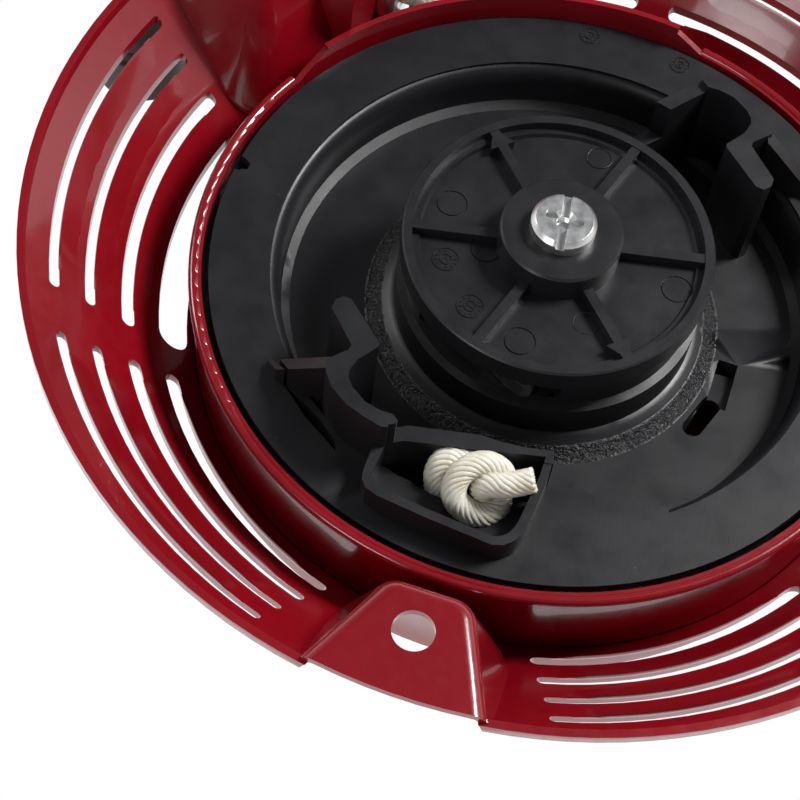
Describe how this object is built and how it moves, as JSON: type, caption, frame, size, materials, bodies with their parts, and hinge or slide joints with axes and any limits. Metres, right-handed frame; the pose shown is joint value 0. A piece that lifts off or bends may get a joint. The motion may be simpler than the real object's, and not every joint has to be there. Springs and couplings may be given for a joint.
{
  "type": "recoil starter",
  "caption": "Recoil starter for a small engine: slotted round sheet-metal case, rope reel on a centre post, pop-out ratchets under a guide plate and a T-shaped pull grip.",
  "frame": {"origin": "centre of the mounting-hole circle, on the face of the mounting pads that rests against the engine", "axes": "+Z along the crank axis towards the engine; the rope leaves the case towards (-0.961, 0.276, 0)"},
  "size_m": [0.194, 0.2232, 0.0465],
  "materials": {
    "case_paint": "gloss",
    "reel_plastic": "satin",
    "guide_plastic": "satin",
    "grip_plastic": "matte",
    "rope": "braided",
    "steel": "satin",
    "spring_steel": "oiled",
    "zinc": "zinc plated"
  },
  "bodies": {
    "case": {"case_shell": "case_paint", "reel_housing": "case_paint", "rope_bushing": "zinc", "post_base": "steel", "centre_post": "steel", "main_spring": "spring_steel", "rope_lead": "rope", "thrust_washer": "steel", "centre_screw": "zinc"},
    "reel": {"reel": "reel_plastic", "rope_winding": "rope", "rope_knot": "rope", "ratchet_springs": "spring_steel"},
    "guide": {"guide_plate": "guide_plastic", "friction_spring": "spring_steel"},
    "ratchet_a": {"ratchet_a": "steel"},
    "ratchet_b": {"ratchet_b": "steel"},
    "grip": {"grip_body": "grip_plastic", "grip_cap": "grip_plastic", "grip_washer": "steel", "grip_rope": "rope"}
  },
  "joints": [
    {"name": "reel_spin", "type": "hinge", "parent": "case", "child": "reel", "pos_m": [0, 0, -0.03], "axis": [0, 0, 1], "range_deg": [0, 1023], "stiffness_Nm_per_rad": 0.04, "springref_deg": -171.89, "deforming": ["main_spring"]},
    {"name": "guide_lag", "type": "hinge", "parent": "reel", "child": "guide", "pos_m": [0, 0, -0.006], "axis": [0, 0, -1], "range_deg": [0, 20.8]},
    {"name": "ratchet_a_swing", "type": "hinge", "parent": "reel", "child": "ratchet_a", "pos_m": [-0.01569, -0.0098, -0.012], "axis": [0, 0, -1], "range_deg": [0, 27.04]},
    {"name": "ratchet_b_swing", "type": "hinge", "parent": "reel", "child": "ratchet_b", "pos_m": [0.01569, 0.0098, -0.012], "axis": [0, 0, -1], "range_deg": [0, 27.04]},
    {"name": "grip_pull", "type": "slide", "parent": "case", "child": "grip", "axis": [-0.9613, 0.2756, 0], "range_m": [0, 1]}
  ],
  "couplings": [
    {"joint": "ratchet_a_swing", "follows": "guide_lag", "ratio": 1.3},
    {"joint": "ratchet_b_swing", "follows": "guide_lag", "ratio": 1.3},
    {"joint": "grip_pull", "follows": "reel_spin", "m_per_rad": 0.056}
  ]
}
